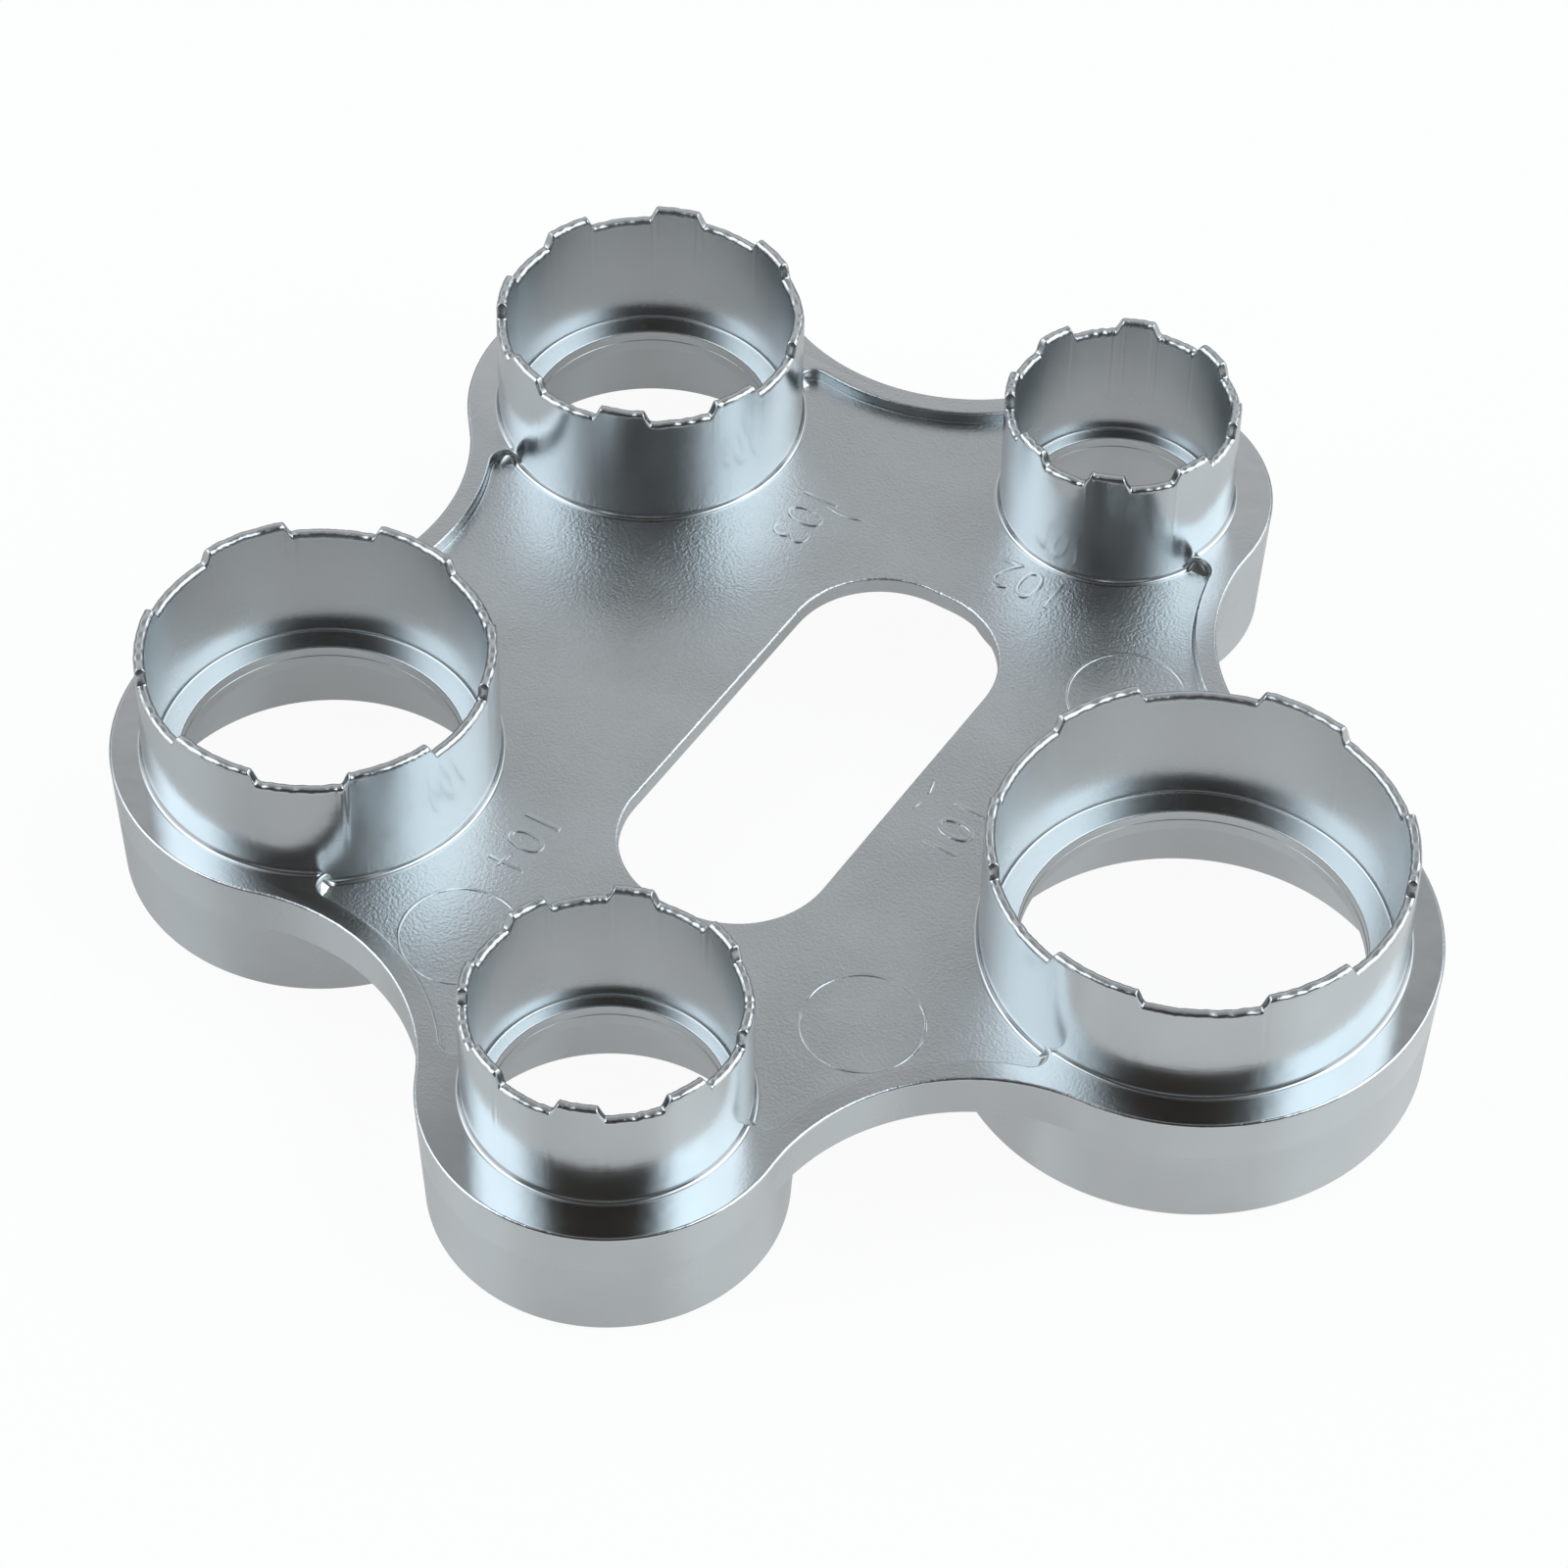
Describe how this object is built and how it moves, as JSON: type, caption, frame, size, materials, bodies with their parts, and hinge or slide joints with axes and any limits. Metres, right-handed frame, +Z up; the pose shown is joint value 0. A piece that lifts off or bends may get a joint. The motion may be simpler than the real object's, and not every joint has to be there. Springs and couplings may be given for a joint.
{
  "type": "faucet aerator wrench",
  "caption": "Flat cast-metal key: toothed ring sockets in several sizes stand round a plate with a hand slot, for unscrewing recessed faucet aerators.",
  "frame": {"origin": "on the table, under the middle of the bounding box", "axes": "+Z up, the way the crowns point; +Y along the hand slot; +X from the slot towards the largest socket"},
  "size_m": [0.082, 0.0814, 0.0176],
  "materials": {
    "zinc_plate": "satin bluish zinc plating on a zinc die casting"
  },
  "bodies": {
    "root": {"skirt_m28": "zinc_plate", "rim_lower_m28": "zinc_plate", "deck_m28": "zinc_plate", "rim_upper_m28": "zinc_plate", "crown_m28": "zinc_plate", "skirt_m16_5": "zinc_plate", "rim_lower_m16_5": "zinc_plate", "deck_m16_5": "zinc_plate", "rim_upper_m16_5": "zinc_plate", "crown_m16_5": "zinc_plate", "skirt_m21_5": "zinc_plate", "rim_lower_m21_5": "zinc_plate", "deck_m21_5": "zinc_plate", "rim_upper_m21_5": "zinc_plate", "crown_m21_5": "zinc_plate", "skirt_m24": "zinc_plate", "rim_lower_m24": "zinc_plate", "deck_m24": "zinc_plate", "rim_upper_m24": "zinc_plate", "crown_m24": "zinc_plate", "skirt_m18_5": "zinc_plate", "rim_lower_m18_5": "zinc_plate", "deck_m18_5": "zinc_plate", "rim_upper_m18_5": "zinc_plate", "crown_m18_5": "zinc_plate"}
  },
  "joints": []
}
